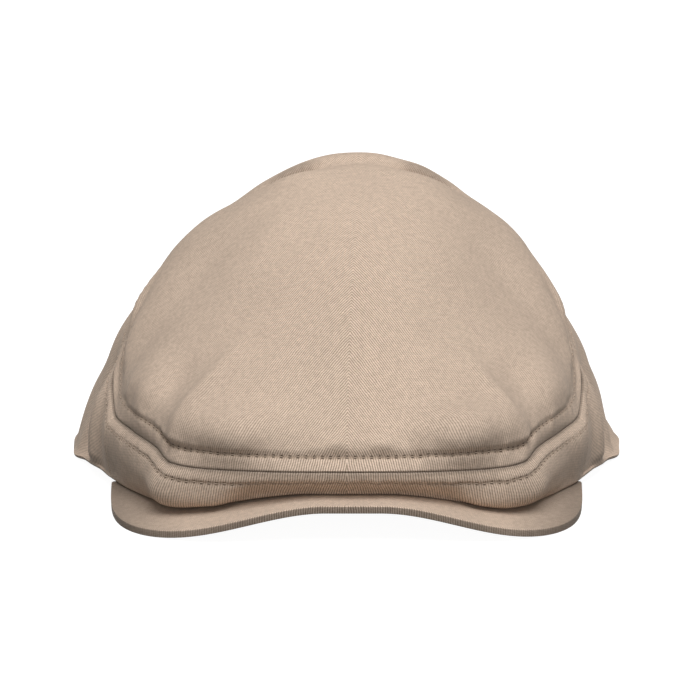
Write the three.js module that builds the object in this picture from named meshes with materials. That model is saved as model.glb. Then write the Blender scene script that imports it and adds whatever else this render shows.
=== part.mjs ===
// A flat bill cap in cotton twill, as it rests on a table: on its bill's front corners and its rear rim.
//
// The cap is sewn from five pieces. The top panel covers the whole top and comes down in front. A closed
// seam runs round it: low over the forehead, up along each side, and high across the back. Below that
// seam hang the front band, which stands on the bill, and the left and right side panels, which meet at
// the centre of the back. The bill is a covered board that reaches back under the band to the forehead.
// The cap is open below.
//
// Units are millimetres. +Z is up, +X is the wearer's left, the bill points along -Y, and the table is at
// z = 0.
import * as THREE from "three";

// Cloth and seams.
const CLOTH = 1.8; // wall of a panel of stiffened twill
const HEM = 2.6; // wall at the turned edge of the rim
const HEM_HEIGHT = 12; // the hem's turned width
const SEAM_GAP = 0.3; // clearance between two pieces along a seam

// The crown's top.
const TOP_HEIGHT = 104; // highest point of the smooth crown
const TOP_Y = 38; // the top lies behind the middle
const LEAN = 4.5; // the soft crown leans this far to +X at its top

// The bill.
const BILL_HALF_WIDTH = 87;
const BILL_TIP_Y = -38; // where its tips end, beside the temples
const BILL_FRONT_Y = -113.5; // its front edge
const BILL_SQUARENESS = 3.8; // exponent of its outline, 2 for an ellipse
const BILL_THICKNESS = 3;
const BILL_ROUNDING = 0.9; // of its outer edge
const BILL_TOP = 14.4; // its top face at the middle of the front seam
const BILL_ARCH = 11.6; // how far its sides drop below the middle
const BILL_ARCH_FROM = 10; // half-width where the drop begins
const BILL_ARCH_TO = 75; // half-width where the drop ends, at the front edge
const BILL_SPLAY = 0.5; // the arch widens towards the tips by this share
const BILL_INNER_HALF_WIDTH = 83.5;
const BILL_INNER_Y = -74; // its inner edge, at the forehead

const SWELL_LEANS = 1; // 0.5 sets a wall's widest point at mid-height, and more sets it nearer the seam

// Stations round one half of the cap, from the middle of the front to the middle of the back. The rim and
// the seam have a place in plan each. A rim_z of null means that the rim stands on the bill there. swell
// pushes the wall between seam and rim outwards, round is how full the top panel is (1 is a parabola, 2
// an ellipse), and puff is how far the top panel swells out above the stitched strip.
const COLUMNS = ["rim_x", "rim_y", "rim_z", "seam_x", "seam_y", "seam_z", "swell", "round", "puff"];
const STATIONS = {
  front:        [0,    -98,  null, 0,    -106,   26.0, -0.8, 1.12, 1.2],
  brow:         [20,   -97,  null, 20,   -105.2, 25.9, -0.6, 1.12, 1.4],
  forehead:     [40,   -93,  null, 41,   -101,   25.6, 0.0,  1.14, 3.6],
  corner_front: [56,   -86,  null, 57,   -93,    25.2, 0.8,  1.18, 3.4],
  corner:       [63.5, -79,  null, 64,   -85,    24.9, 1.2,  1.2,  1.6],
  corner_side:  [71,   -68,  null, 70.5, -73.5,  25.6, 1.2,  1.22, 2.0],
  cheek:        [80,   -52,  null, 79,   -56,    27.2, 1.5,  1.25, 2.2],
  temple:       [87,   -36,  null, 85.5, -37,    29.2, 2.5,  1.3,  1.2],
  behind:       [93,   -17,  4.8,  87,   -17,    38,   1.0,  1.36, 0.8],
  ear:          [98.4, 0,    2.4,  83.5, 2,      48,   3.0,  1.42, 0.5],
  side:         [102,  15,   0.6,  79,   16,     56,   4.2,  1.45, 0.4],
  wide:         [102,  36,   0,    70.5, 35,     65.5, 5.0,  1.45, 0.4],
  rear_side:    [93,   66,   0,    57,   60,     73,   6,    1.45, 0.4],
  rear_quarter: [68,   94,   0,    37,   83,     77,   7,    1.55, 0.4],
  rear:         [35,   108,  0,    17,   95,     79,   8,    1.6,  0.4],
  back:         [0,    111.5, 0,   0,    98.5,   79.5, 8,    1.6,  0.4],
};

// The sharp bend of the cap from its front to its side: a pull outwards that fades up the top panel.
const CORNER = { pull: 2.6, spread: 9, fades_over: 50 };

// Above the stitched strip the top panel puffs out. The puff grows and fades between these distances from
// the seam.
const PUFF = { grows_from: 6, full_at: 19, fades_from: 22, gone_at: 66 };

// The top panel's plan is the seam's outline at the seam and passes into an oval without corners further
// up. The change begins and ends at these shares of the way from the top to the seam.
const OVAL = { half_width: 84, front_y: -104, back_y: 98, from: 1, to: 0.62 };

// Dents and swells of the crown, from above: place, half-widths and height. mirrored makes one on each
// side.
const DENTS = [
  { name: "rear_swell",     x: 0,  y: 62, across: 30, along: 24, rise: 5.0,  mirrored: false },
  { name: "brow_swell",     x: 28, y: 16, across: 16, along: 24, rise: 1.6,  mirrored: true },
  { name: "shoulder_dent",  x: 46, y: 50, across: 15, along: 26, rise: -3.0, mirrored: true },
];

// Soft folds of the side panels, each from a point on the rim to a point on the seam, given by the
// distance along the rim from the middle of the front. A fold stands out or lies in by its depth. It
// grows from the seam over the share FOLD_GROWS of the wall, and the share FOLD_EASES of it is gone at
// the rim.
const FOLD_GROWS = 0.35;
const FOLD_EASES = 0.7;
const FOLDS = [
  { name: "temple_ridge", rim_at: 140, seam_at: 146, spread: 7,  depth: 2.6 },
  { name: "temple_dip",   rim_at: 158, seam_at: 168, spread: 9,  depth: -3.0 },
  { name: "side_ridge",   rim_at: 196, seam_at: 176, spread: 10, depth: 1.2 },
];

// How finely the solids are divided.
const CORNER_COLUMNS = 9; // from the middle of the front to the corner
const CHEEK_COLUMNS = 6; // from the corner to the temple
const SIDE_COLUMNS = 20; // from the temple to the middle of the back
const RING_ROWS = 7; // from the rim to the seam
const STRIP_ROWS = [3, 6, 10, 16, 24]; // distances from the seam on the top panel
const TOP_ROWS = 9; // from there to the top
const PROFILE_STEPS = 64; // fine steps that a profile is measured with
const PROFILE_CROWDING = 1.6; // they crowd towards the seam
const BILL_SECTIONS = 40;
const BILL_ROWS = 6; // across the bill's depth

// A smooth step from 0 to 1 as x goes from low to high.
function smoothStep(low, high, x) {
  const t = THREE.MathUtils.clamp((x - low) / (high - low), 0, 1);
  return t * t * (3 - 2 * t);
}

// A bell of height 1 round zero.
function bell(distance, spread) {
  return Math.exp(-((distance / spread) ** 2));
}

// The smooth curve through the rows of a table that never swings past its points, and its value at x.
function smoothTable(xs, ys) {
  const steps = xs.slice(1).map((x, i) => x - xs[i]);
  const slopes = steps.map((step, i) => (ys[i + 1] - ys[i]) / step);
  const tangents = xs.map((x, i) => {
    if (i === 0 || i === xs.length - 1) return 0; // the cap is mirrored at both ends
    const before = slopes[i - 1];
    const after = slopes[i];
    if (before * after <= 0) return 0;
    const a = 2 * steps[i] + steps[i - 1];
    const b = steps[i] + 2 * steps[i - 1];
    return (a + b) / (a / before + b / after);
  });
  return (x) => {
    let i = 0;
    while (i < steps.length - 1 && x > xs[i + 1]) i++;
    const t = (x - xs[i]) / steps[i];
    const rise = ys[i + 1] - ys[i];
    const first = tangents[i] * steps[i];
    const last = tangents[i + 1] * steps[i];
    return ys[i] + t * (first + t * (3 * rise - 2 * first - last + t * (first + last - 2 * rise)));
  };
}

// The bill's top face.
function billTop(x, y) {
  const reach = BILL_ARCH_TO + BILL_SPLAY * Math.max(0, y - BILL_FRONT_Y);
  return BILL_TOP - BILL_ARCH * smoothStep(BILL_ARCH_FROM, reach, Math.abs(x));
}

// The stations as smooth curves over the distance along the rim, with the places of the named stations.
const names = Object.keys(STATIONS);
const rows = names.map((name) => {
  const row = Object.fromEntries(COLUMNS.map((column, i) => [column, STATIONS[name][i]]));
  if (row.rim_z === null) row.rim_z = billTop(row.rim_x, row.rim_y) + SEAM_GAP;
  return row;
});
const along = [0];
for (let i = 1; i < rows.length; i++) {
  const step = Math.hypot(rows[i].rim_x - rows[i - 1].rim_x, rows[i].rim_y - rows[i - 1].rim_y);
  along.push(along[i - 1] + step);
}
// x runs on through the mirror planes, so only the other columns are level there.
const turned = new Set(["rim_x", "seam_x"]);
const curves = Object.fromEntries(COLUMNS.map((column) => {
  const values = rows.map((row) => row[column]);
  if (!turned.has(column)) return [column, smoothTable(along, values)];
  const last = along.length - 1;
  const mirroredAlong = [-along[1], ...along, 2 * along[last] - along[last - 1]];
  return [column, smoothTable(mirroredAlong, [-values[1], ...values, -values[last - 1]])];
}));
const placeOf = (name) => along[names.indexOf(name)];
const CORNER_AT = placeOf("corner");
const TEMPLE_AT = placeOf("temple");
const BACK_AT = along[along.length - 1];

// The cap's measures at a distance along the rim, on the +X side.
function station(at) {
  const s = Object.fromEntries(COLUMNS.map((column) => [column, curves[column](at)]));
  s.at = at;
  if (at <= TEMPLE_AT) s.rim_z = billTop(s.rim_x, s.rim_y) + SEAM_GAP;
  s.corner = CORNER.pull * bell(at - CORNER_AT, CORNER.spread);
  return s;
}

// The point of the wall between seam and rim: share 0 is the seam and 1 is the rim.
function wallPoint(s, share) {
  const x = THREE.MathUtils.lerp(s.seam_x, s.rim_x, share);
  const y = THREE.MathUtils.lerp(s.seam_y, s.rim_y, share);
  const z = THREE.MathUtils.lerp(s.seam_z, s.rim_z, share);
  let out = s.swell * 4 * share * (1 - share) * (SWELL_LEANS + 0.5 - share) + s.corner;
  if (s.at > TEMPLE_AT)
    for (const fold of FOLDS) {
      const middle = THREE.MathUtils.lerp(fold.seam_at, fold.rim_at, share);
      const height = smoothStep(0, FOLD_GROWS, share) * (1 - FOLD_EASES * share ** 3);
      out += fold.depth * height * bell(s.at - middle, fold.spread);
    }
  return outwards(x, y, z, out);
}

// A point pushed away from the cap's middle in plan.
function outwards(x, y, z, push) {
  const away = new THREE.Vector2(x, y - TOP_Y).normalize();
  return new THREE.Vector3(x + away.x * push, y + away.y * push, z);
}

// The profile of the top panel at a station, from the seam to the top, as points at the wanted distances.
function topProfile(s, distances, rest) {
  const raw = [];
  const halfLength = (OVAL.back_y - OVAL.front_y) / 2;
  const middleY = OVAL.front_y + halfLength;
  const bearing = Math.atan2(s.seam_x / OVAL.half_width, (middleY - s.seam_y) / halfLength);
  const ovalX = OVAL.half_width * Math.sin(bearing);
  const ovalY = middleY - halfLength * Math.cos(bearing);
  for (let i = 0; i <= PROFILE_STEPS; i++) {
    const share = 1 - (i / PROFILE_STEPS) ** PROFILE_CROWDING;
    const fromOval = smoothStep(OVAL.to, OVAL.from, share);
    const x = THREE.MathUtils.lerp(ovalX, s.seam_x, fromOval) * share;
    const y = THREE.MathUtils.lerp(TOP_Y, THREE.MathUtils.lerp(ovalY, s.seam_y, fromOval), share);
    const z = s.seam_z + (TOP_HEIGHT - s.seam_z) * (1 - share * share) ** (1 / s.round);
    raw.push(new THREE.Vector3(x, y, z));
  }
  const lengths = [0];
  for (let i = 1; i < raw.length; i++) lengths.push(lengths[i - 1] + raw[i].distanceTo(raw[i - 1]));
  const total = lengths[lengths.length - 1];
  const last = distances[distances.length - 1];
  const wanted = [0, ...distances];
  for (let i = 1; i <= rest; i++) wanted.push(last + ((total - last) * i) / rest);
  return wanted.map((d) => {
    let i = 1;
    while (i < lengths.length - 1 && lengths[i] < d) i++;
    const t = (d - lengths[i - 1]) / (lengths[i] - lengths[i - 1]);
    const p = raw[i - 1].clone().lerp(raw[i], Math.min(1, t));
    const grown = smoothStep(PUFF.grows_from, PUFF.full_at, d);
    const faded = smoothStep(PUFF.fades_from, PUFF.gone_at, d);
    const corner = s.corner * (1 - smoothStep(0, CORNER.fades_over, d));
    const pushed = outwards(p.x, p.y, p.z, s.puff * grown * (1 - faded) + corner);
    if (total - d < 1e-6) pushed.set(0, TOP_Y, p.z);
    return pushed;
  });
}

// Dents, swells and the lean, which move a point of the finished crown.
function settled(point) {
  const p = point.clone();
  const onTop = smoothStep(HEM_HEIGHT, TOP_HEIGHT / 2, point.z); // the rim stays where it stands
  for (const dent of DENTS)
    for (const side of dent.mirrored ? [-1, 1] : [1])
      p.z += onTop * dent.rise * bell(p.x - side * dent.x, dent.across) * bell(p.y - dent.y, dent.along);
  p.x += LEAN * (Math.max(0, point.z) / TOP_HEIGHT) ** 3;
  return p;
}

// The crown's outer skin: columns round the cap, each a list of points from the rim up to the top.
const evenly = (from, to, count) =>
  Array.from({ length: count }, (_, i) => THREE.MathUtils.lerp(from, to, i / count));
const FRONT_COLUMNS = CORNER_COLUMNS + CHEEK_COLUMNS;
const halfPlaces = [
  ...evenly(0, CORNER_AT, CORNER_COLUMNS),
  ...evenly(CORNER_AT, TEMPLE_AT, CHEEK_COLUMNS),
  ...evenly(TEMPLE_AT, BACK_AT, SIDE_COLUMNS),
  BACK_AT,
];
const halfSkin = halfPlaces.map((at) => {
  const s = station(at);
  const wall = [];
  for (let j = 0; j < RING_ROWS; j++) wall.push(wallPoint(s, 1 - j / RING_ROWS));
  return [...wall, ...topProfile(s, STRIP_ROWS, TOP_ROWS)];
});
const HALF = halfSkin.length - 1;
const COLUMN_COUNT = 2 * HALF;
const SEAM_ROW = RING_ROWS;
const TOP_ROW = halfSkin[0].length - 1;
// Column 0 is the middle of the front, the +X side comes first, and column HALF is the middle of the
// back.
const skin = [];
for (let i = 0; i < COLUMN_COUNT; i++) {
  const half = i <= HALF ? halfSkin[i] : halfSkin[COLUMN_COUNT - i];
  const side = i <= HALF ? 1 : -1;
  skin.push(half.map((p) => settled(new THREE.Vector3(p.x * side, p.y, p.z))));
}

// The skin's outward normals, level along the rim so that the hem stands square on the floor.
const normals = skin.map((column, i) => column.map((p, j) => {
  if (j === TOP_ROW) return new THREE.Vector3(0, 0, 1);
  const next = skin[(i + 1) % COLUMN_COUNT];
  const previous = skin[(i + COLUMN_COUNT - 1) % COLUMN_COUNT];
  const round = next[j].clone().sub(previous[j]);
  const up = column[j + 1].clone().sub(column[Math.max(0, j - 1)]);
  const n = round.cross(up).normalize();
  return j === 0 ? n.setZ(0).normalize() : n;
}));

// The inner skin: a cloth's thickness in, or a hem's along the rim. It stands on the bill as the outer
// one does.
function innerPoint(i, j) {
  const wall = THREE.MathUtils.lerp(HEM, CLOTH, smoothStep(0, HEM_HEIGHT, skin[i][j].z - skin[i][0].z));
  const p = skin[i][j].clone().addScaledVector(normals[i][j], -wall);
  const fromFront = Math.min(i, COLUMN_COUNT - i);
  if (j === 0 && fromFront <= FRONT_COLUMNS) p.z = billTop(p.x, p.y) + SEAM_GAP;
  return p;
}
const inside = skin.map((column, i) => column.map((p, j) => innerPoint(i, j)));

// A closed panel from columns first to last of the skin (wrapping round) and rows low to high. Its
// borders are drawn in by half a seam's gap, and a row that ends at the top closes in one point.
function panel(first, last, low, high) {
  const whole = last - first === COLUMN_COUNT;
  const columns = [];
  for (let i = first; i <= last; i++) columns.push((i + COLUMN_COUNT) % COLUMN_COUNT);
  if (whole) columns.pop();
  const drawnIn = (grid) => {
    const points = columns.map((c) => grid[c].slice(low, high + 1).map((p) => p.clone()));
    const pull = (from, to) => from.add(to.clone().sub(from).setLength(SEAM_GAP / 2));
    if (low === SEAM_ROW) points.forEach((column) => pull(column[0], column[1]));
    if (high === SEAM_ROW) points.forEach((column) => pull(column.at(-1), column.at(-2)));
    if (!whole) {
      points[0].forEach((p, j) => pull(p, points[1][j]));
      points[points.length - 1].forEach((p, j) => pull(p, points[points.length - 2][j]));
    }
    return points;
  };
  return closedShell(drawnIn(skin), drawnIn(inside), whole, high === TOP_ROW);
}

// A closed mesh from an outer and an inner grid of points. round joins the last column to the first, and
// pole makes the last row one point.
function closedShell(outer, inner, round, pole) {
  const positions = [];
  const index = [];
  const rowCount = outer[0].length;
  const place = (grid) => grid.map((column) => column.map((p, j) => {
    if (pole && j === rowCount - 1 && column !== grid[0]) return null;
    positions.push(p.x, p.y, p.z);
    return positions.length / 3 - 1;
  }));
  const outerIds = place(outer);
  const innerIds = place(inner);
  for (const ids of [outerIds, innerIds])
    if (pole) ids.forEach((column) => (column[rowCount - 1] = ids[0][rowCount - 1]));
  const quad = (a, b, c, d) => {
    if (a !== b && b !== c && a !== c) index.push(a, b, c);
    if (a !== c && c !== d && a !== d) index.push(a, c, d);
  };
  const columnCount = outer.length;
  const spans = round ? columnCount : columnCount - 1;
  for (let i = 0; i < spans; i++) {
    const k = (i + 1) % columnCount;
    for (let j = 0; j < rowCount - 1; j++) {
      quad(outerIds[i][j], outerIds[k][j], outerIds[k][j + 1], outerIds[i][j + 1]);
      quad(innerIds[i][j], innerIds[i][j + 1], innerIds[k][j + 1], innerIds[k][j]);
    }
    quad(outerIds[k][0], outerIds[i][0], innerIds[i][0], innerIds[k][0]);
    if (!pole) {
      const top = rowCount - 1;
      quad(outerIds[i][top], outerIds[k][top], innerIds[k][top], innerIds[i][top]);
    }
  }
  if (!round)
    for (let j = 0; j < rowCount - 1; j++) {
      const end = columnCount - 1;
      quad(outerIds[0][j], outerIds[0][j + 1], innerIds[0][j + 1], innerIds[0][j]);
      quad(outerIds[end][j + 1], outerIds[end][j], innerIds[end][j], innerIds[end][j + 1]);
    }
  const geometry = new THREE.BufferGeometry();
  geometry.setAttribute("position", new THREE.Float32BufferAttribute(positions, 3));
  geometry.setIndex(index);
  geometry.computeVertexNormals();
  return geometry;
}

// The bill: sections from tip to tip, each from its inner edge to its outer edge.
function billGeometry() {
  const top = [];
  const under = [];
  for (let i = 0; i <= BILL_SECTIONS; i++) {
    const turn = ((2 * i) / BILL_SECTIONS - 1) * (Math.PI / 2);
    const power = 2 / BILL_SQUARENESS;
    const outerX = Math.sign(turn) * BILL_HALF_WIDTH * Math.abs(Math.sin(turn)) ** power;
    const outerY = BILL_TIP_Y + (BILL_FRONT_Y - BILL_TIP_Y) * Math.max(0, Math.cos(turn)) ** power;
    const innerX = BILL_INNER_HALF_WIDTH * Math.sin(turn);
    const innerY = BILL_TIP_Y + (BILL_INNER_Y - BILL_TIP_Y) * Math.max(0, Math.cos(turn));
    const depth = Math.hypot(outerX - innerX, outerY - innerY);
    const shares = [0];
    const edge = 1 - BILL_ROUNDING / depth;
    for (let j = 1; j <= BILL_ROWS; j++) shares.push((edge * j) / BILL_ROWS);
    const point = (share, depthBelow) => {
      const x = THREE.MathUtils.lerp(innerX, outerX, share);
      const y = THREE.MathUtils.lerp(innerY, outerY, share);
      return new THREE.Vector3(x, y, billTop(x, y) - depthBelow);
    };
    top.push([...shares.map((share) => point(share, 0)), point(1, BILL_ROUNDING)]);
    const underRow = shares.map((share) => point(share, BILL_THICKNESS));
    under.push([...underRow, point(1, BILL_THICKNESS - BILL_ROUNDING)]);
  }
  return closedShell(under, top, false, false);
}

// A named piece in the cap's cloth.
function piece(name, geometry, colour) {
  const material = new THREE.MeshStandardMaterial({ color: colour, roughness: 0.92, metalness: 0 });
  const mesh = new THREE.Mesh(geometry, material);
  mesh.name = name;
  return mesh;
}

const TWILL = 0xd0b99f; // sand-coloured cotton twill
const cap = new THREE.Group();
cap.name = "flat_bill_cap";
cap.add(
  piece("top_panel", panel(0, COLUMN_COUNT, SEAM_ROW, TOP_ROW), TWILL),
  piece("front_band", panel(-FRONT_COLUMNS, FRONT_COLUMNS, 0, SEAM_ROW), TWILL),
  piece("side_panel_left", panel(FRONT_COLUMNS, HALF, 0, SEAM_ROW), TWILL),
  piece("side_panel_right", panel(HALF, COLUMN_COUNT - FRONT_COLUMNS, 0, SEAM_ROW), TWILL),
  piece("bill", billGeometry(), TWILL),
);

export default cap;
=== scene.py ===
"""The looks of a flat bill cap: sewn cotton twill panels, a covered bill, stitching, and a studio stage.

The cloth is laid out as the cap's solids are: stations round the rim give the rim, the closed seam and how
the panels swell between them. Here each panel is a fine sheet of its own with turned edges, puckers and
folds. Lengths in the cloth's layout are in millimetres, and in the properties and the scene in metres.
+Z is up, +X is the wearer's left, and the bill points along -Y.
"""
import math

import bpy
import numpy as np
from mathutils import Matrix, Vector


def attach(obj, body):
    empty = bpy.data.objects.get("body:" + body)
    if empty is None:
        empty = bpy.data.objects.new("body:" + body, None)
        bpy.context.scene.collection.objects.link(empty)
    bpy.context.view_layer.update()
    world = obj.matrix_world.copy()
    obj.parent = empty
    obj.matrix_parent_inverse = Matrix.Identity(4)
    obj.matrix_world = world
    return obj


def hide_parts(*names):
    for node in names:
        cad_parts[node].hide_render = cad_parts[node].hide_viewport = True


bl_info = {
    "name": "Flat Bill Cap",
    "version": (1, 0, 0),
    "blender": (4, 5, 0),
    "location": "View3D > Sidebar > Cap",
    "description": "Builds a flat bill cap in cotton twill, with its stitching and a studio stage",
    "category": "Object",
}

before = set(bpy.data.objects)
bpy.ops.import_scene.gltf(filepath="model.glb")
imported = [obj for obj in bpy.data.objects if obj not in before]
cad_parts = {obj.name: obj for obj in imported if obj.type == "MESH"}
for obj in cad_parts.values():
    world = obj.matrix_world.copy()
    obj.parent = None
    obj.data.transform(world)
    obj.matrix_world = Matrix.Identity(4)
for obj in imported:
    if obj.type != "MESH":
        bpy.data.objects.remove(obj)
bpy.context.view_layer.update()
MM = 0.001

# The bill, in millimetres.
BILL_HALF_WIDTH = 87
BILL_TIP_Y = -38
BILL_FRONT_Y = -113.5
BILL_SQUARENESS = 3.8
BILL_THICKNESS = 3
BILL_TOP = 15.1
BILL_ARCH = 12.3
BILL_ARCH_MIDDLE = 2.5
BILL_MIDDLE_FADES = 90  # at this distance from the middle the arch is no longer off centre
BILL_ARCH_FROM = 10
BILL_ARCH_TO = 75
BILL_SPLAY = 0.5
BILL_INNER_HALF_WIDTH = 83.5
BILL_INNER_Y = -74
BILL_EDGE_SLOPE = math.radians(84)
BILL_TIP_ROUNDING = 0.12
EDGE_ROUNDING = (0.3, 0.35)  # below and above
EDGE_LEAN = 0.6  # the edge leans in by this much towards the underside
SEAM_GAP = 0.3

# The crown, in millimetres.
TOP_HEIGHT = 104
TOP_Y = 38
LEAN = 4.5
HEM_HEIGHT = 12
SWELL_LEANS = 1
CORNER = {"pull": 2.6, "spread": 9, "fades_over": 50}
PUFF = {"grows_from": 6, "full_at": 19, "fades_from": 22, "gone_at": 66}
OVAL = {"half_width": 84, "front_y": -104, "back_y": 98, "from": 1, "to": 0.62}
STATION_COLUMNS = ("rim_x", "rim_y", "rim_z", "seam_x", "seam_y", "seam_z", "swell", "round", "puff")
STATIONS = {
    "front":        (0,    -98,  None, 0,    -106,   25.4, -0.8, 1.12, 1.2),
    "brow":         (20,   -97,  None, 20,   -105.2, 25.3, -0.6, 1.12, 1.4),
    "forehead":     (40,   -93,  None, 41,   -101,   25.1, 0.0,  1.14, 3.6),
    "corner_front": (56,   -86,  None, 57,   -93,    24.5, 0.8,  1.18, 3.4),
    "corner":       (63.5, -79,  None, 63.5, -85,    24.7, 1.2,  1.2,  1.6),
    "corner_side":  (71,   -68,  None, 70,   -73.5,  27.2, 1.2,  1.22, 2.0),
    "cheek":        (80,   -52,  None, 78.8, -56,    28.6, 1.5,  1.25, 2.2),
    "temple":       (87,   -36,  None, 85.5, -37,    29.6, 2.5,  1.3,  1.2),
    "behind":       (93,   -17,  4.8,  87,   -17,    38,   1.0,  1.36, 0.8),
    "ear":          (98.4, 0,    2.4,  83.5, 2,      48,   3.0,  1.42, 0.5),
    "side":         (102,  15,   0.6,  79,   16,     56,   4.2,  1.45, 0.4),
    "wide":         (102,  36,   0,    70.5, 35,     65.5, 5.0,  1.45, 0.4),
    "rear_side":    (93,   66,   0,    57,   60,     73,   6,    1.45, 0.4),
    "rear_quarter": (68,   94,   0,    37,   83,     77,   7,    1.55, 0.4),
    "rear":         (35,   108,  0,    17,   95,     79,   8,    1.6,  0.4),
    "back":         (0,    111.5, 0,   0,    98.5,   79.5, 8,    1.6,  0.4),
}

# Dents and swells of the crown seen from above: x, y, half-widths across and along, rise, on both sides.
DENTS = {
    "rear_swell":    (0,  62, 30, 24, 5.0,  False),
    "brow_swell":    (28, 16, 16, 24, 1.6,  True),
    "shoulder_dent": (46, 50, 15, 26, -3.0, True),
}

# Soft folds of the side panels: distance along the rim at the rim and at the seam, spread and depth.
FOLD_GROWS = 0.35
FOLD_EASES = 0.7
FOLDS = {
    "temple_ridge": (140, 146, 7,  2.6),
    "temple_dip":   (158, 168, 9,  -3.0),
    "side_ridge":   (196, 176, 10, 1.2),
}

# Soft forms of the cloth on the top panel: place along the rim ("at") and off the seam ("off"), both in
# millimetres, spread along and across, and rise. slant moves a form along as it leaves the seam.
TOP_FORMS = {
    "front_puff":    {"at": 45, "off": 17, "along": 18, "across": 9, "rise": 0.5},
    "middle_puff":   {"at": 4, "off": 11, "along": 6, "across": 3, "rise": 1.7, "side": -1},
    "middle_puff_2": {"at": 13, "off": 11, "along": 6, "across": 3, "rise": 1.8, "side": 1},
    "right_puff":    {"at": 47, "off": 21, "along": 14, "across": 8.5, "rise": 2.0, "side": 1},
    "corner_ridge":  {"at": 66, "off": 22, "along": 4, "across": 22, "rise": 1.2, "slant": -0.25},
    "corner_tent":   {"at": 65, "off": 22, "along": 11, "across": 22, "rise": 1.9, "slant": -0.2},
    "corner_valley": {"at": 82, "off": 24, "along": 8, "across": 13, "rise": -1.7, "slant": -0.15},
    "corner_pinch":  {"at": 70, "off": 3.4, "along": 2.2, "across": 3.5, "rise": -0.9},
    "cheek_puff":    {"at": 100, "off": 20, "along": 12, "across": 13, "rise": 1.5},
    "temple_tuck":   {"at": 111, "off": 7.4, "along": 5, "across": 2, "rise": -0.9, "slant": -0.5},
    "ear_pull":      {"at": 158, "off": 13, "along": 4.5, "across": 8, "rise": 1.3, "slant": 1.0},
    "ear_dip":       {"at": 147, "off": 13, "along": 6, "across": 8, "rise": -1.0, "slant": 1.0},
}
# The same below the seam, on the band and the side panels.
WALL_FORMS = {
    "corner_pinch":  {"at": 70, "off": 2, "along": 2.4, "across": 4, "rise": -0.9},
    "corner_ridge":  {"at": 72, "off": 11, "along": 5, "across": 6, "rise": 0.9},
    "near_fold":     {"at": 137, "off": 22, "along": 7, "across": 18, "rise": 3.0},
    "far_valley":    {"at": 155, "off": 28, "along": 8, "across": 22, "rise": -3.5},
    "flat_side":     {"at": 190, "off": 33, "along": 32, "across": 17, "rise": -2.5},
    "low_right":     {"at": 192, "off": 60, "along": 26, "across": 9, "rise": -2.4, "side": 1},
}
# Forms of the crown seen from above: x, y, half-widths across and along, and rise, on both sides.
CROWN_FORMS = {
    "rear_rise":     {"x": 0, "y": 66, "across": 25, "along": 18, "rise": 0.5},
    "rear_crease":   {"x": 26, "y": 48, "across": 10, "along": 5, "rise": -4.4},
    "middle_crease": {"x": 0, "y": 48, "across": 24, "along": 5, "rise": -1.8},
    "rear_step":     {"x": 25, "y": 58, "across": 10, "along": 6, "rise": 1.2},
    "brow_edge":     {"x": 26, "y": 37, "across": 13, "along": 6, "rise": 0.8},
}
# Behind the brow the cloth laps forward over the crease, on both sides.
LAP = {"x": 25, "y": 56, "across": 12, "along": 5, "forward": 4.0}

# The stitched row above the seam dips towards it between the middle and the corner.
ROW_DIP = {"at": 41, "spread": 11, "by": 1.1, "fades_over": 6.2}
# The strip under the stitched row tilts outwards, more on the +X side, and once more over the cheeks.
TILT = {"at": 43, "spread": 15, "left": 3.5, "right": 2.9}
CHEEK_TILT = {"at": 92, "spread": 14, "rise": 2.2}
# Above the row the puff rises, and behind the temple the cloth is drawn in.
UNDER_PUFF = {"at": 44, "spread": 17, "rise": 3.3, "full_over": 5.6}
BEHIND_TEMPLE = {"at": 138, "spread": 17, "fall": 1.5}
# The band's lower half stands out beside the middle, a little less towards the corner.
FLARE = {"from": 35, "full_at": 50, "by": 4.7, "eases_from": 54, "eases_to": 78, "eases_by": 0.32}

# The painted shade in the creases behind the brow: place, and half-widths across and along.
PAINTED_CREASE_SHADE = {"x": 25, "y": 51.5, "across": 11, "along": 5.5}
# How far from the middle the bill darkens with painted shade towards its tips, and where the painted shade
# round its edge fades.
PAINTED_TIP_SHADE = (0.058, 0.084)
PAINTED_EDGE_SHADE = (0.045, 0.07)

# The sheets' fineness.
BILL_COLUMNS = 240
BILL_ROWS = 26
BILL_EDGE_SAMPLES = 40001
ROW_SAMPLES = 1601
CORNER_COLUMNS = 60
CHEEK_COLUMNS = 44
SIDE_COLUMNS = 120
TOP_ROWS = 58
BAND_ROWS = 9
SIDE_ROWS = 40
PROFILE_STEPS = 96
PROFILE_CROWDING = 1.6
ROLL_STEPS = 4
SMOOTH_BELOW = math.radians(50)


def smooth_step(low, high, x):
    """A smooth step from 0 to 1 as x goes from low to high."""
    t = np.clip((x - low) / (high - low), 0, 1)
    return t * t * (3 - 2 * t)


def bell(distance, spread):
    """A bell of height 1 round zero."""
    return np.exp(-((distance / spread) ** 2))


def lerp(a, b, share):
    """The value at a share of the way from a to b."""
    return a + (b - a) * share


def unit(vectors):
    """The vectors at length 1."""
    return vectors / np.maximum(np.linalg.norm(vectors, axis=-1, keepdims=True), 1e-9)


def smooth_table(xs, ys):
    """The smooth curve through the rows of a table that never swings past its points."""
    xs, ys = np.array(xs, float), np.array(ys, float)
    steps = np.diff(xs)
    slopes = np.diff(ys) / steps
    tangents = np.zeros(len(xs))
    for i in range(1, len(xs) - 1):
        before, after = slopes[i - 1], slopes[i]
        if before * after > 0:
            a = 2 * steps[i] + steps[i - 1]
            b = steps[i] + 2 * steps[i - 1]
            tangents[i] = (a + b) / (a / before + b / after)

    def value(x):
        i = np.clip(np.searchsorted(xs, x) - 1, 0, len(steps) - 1)
        t = (x - xs[i]) / steps[i]
        rise = ys[i + 1] - ys[i]
        first = tangents[i] * steps[i]
        last = tangents[i + 1] * steps[i]
        return ys[i] + t * (first + t * (3 * rise - 2 * first - last + t * (first + last - 2 * rise)))

    return value


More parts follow.
